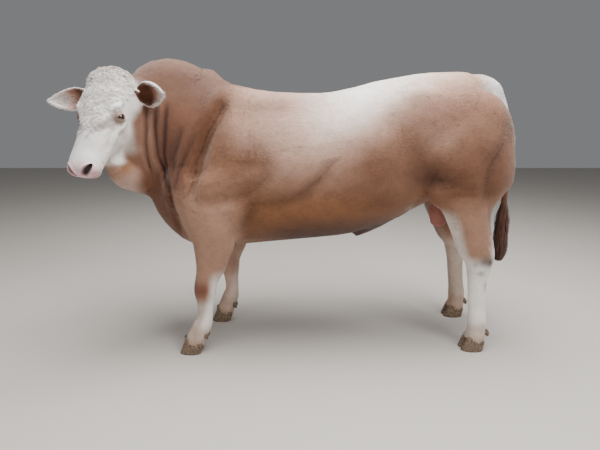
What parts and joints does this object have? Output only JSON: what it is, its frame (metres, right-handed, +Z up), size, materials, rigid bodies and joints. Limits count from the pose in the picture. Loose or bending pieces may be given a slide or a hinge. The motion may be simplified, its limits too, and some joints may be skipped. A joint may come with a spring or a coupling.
{
  "type": "standing beef bull model",
  "caption": "Life-size still model of a polled beef bull standing square, head turned to its left, tail hanging.",
  "frame": {"origin": "on the floor, under the middle of the bull's box", "axes": "+X towards the tail, so the bull faces -X; +Y towards its right flank; +Z up"},
  "size_m": [2.5959, 0.8864, 1.6236],
  "materials": {
    "face_coat": "short white hair, curly on the poll",
    "neck_coat": "short warm brown hair",
    "body_coat": "short blonde hair, paler on the back",
    "leg_coat": "short hair, tan above and white below",
    "tail_coat": "short white hair",
    "switch_hair": "long dark brown hair",
    "scrotum_skin": "fine hair over wrinkled skin",
    "eye": "wet, dark",
    "hoof_horn": "ringed horn"
  },
  "bodies": {
    "root": {"head": "face_coat", "ear_left": "face_coat", "ear_right": "face_coat", "eye_left": "eye", "eye_right": "eye", "neck": "neck_coat", "torso": "body_coat", "scrotum": "scrotum_skin", "foreleg_left": "leg_coat", "foreleg_right": "leg_coat", "hindleg_left": "leg_coat", "hindleg_right": "leg_coat", "tail": "tail_coat", "tail_switch": "switch_hair", "hoof_fore_left_inner": "hoof_horn", "hoof_fore_left_outer": "hoof_horn", "hoof_fore_right_inner": "hoof_horn", "hoof_fore_right_outer": "hoof_horn", "hoof_hind_left_inner": "hoof_horn", "hoof_hind_left_outer": "hoof_horn", "hoof_hind_right_inner": "hoof_horn", "hoof_hind_right_outer": "hoof_horn", "dewclaw_fore_left_inner": "hoof_horn", "dewclaw_fore_left_outer": "hoof_horn", "dewclaw_fore_right_inner": "hoof_horn", "dewclaw_fore_right_outer": "hoof_horn", "dewclaw_hind_left_inner": "hoof_horn", "dewclaw_hind_left_outer": "hoof_horn", "dewclaw_hind_right_inner": "hoof_horn", "dewclaw_hind_right_outer": "hoof_horn"}
  },
  "joints": []
}
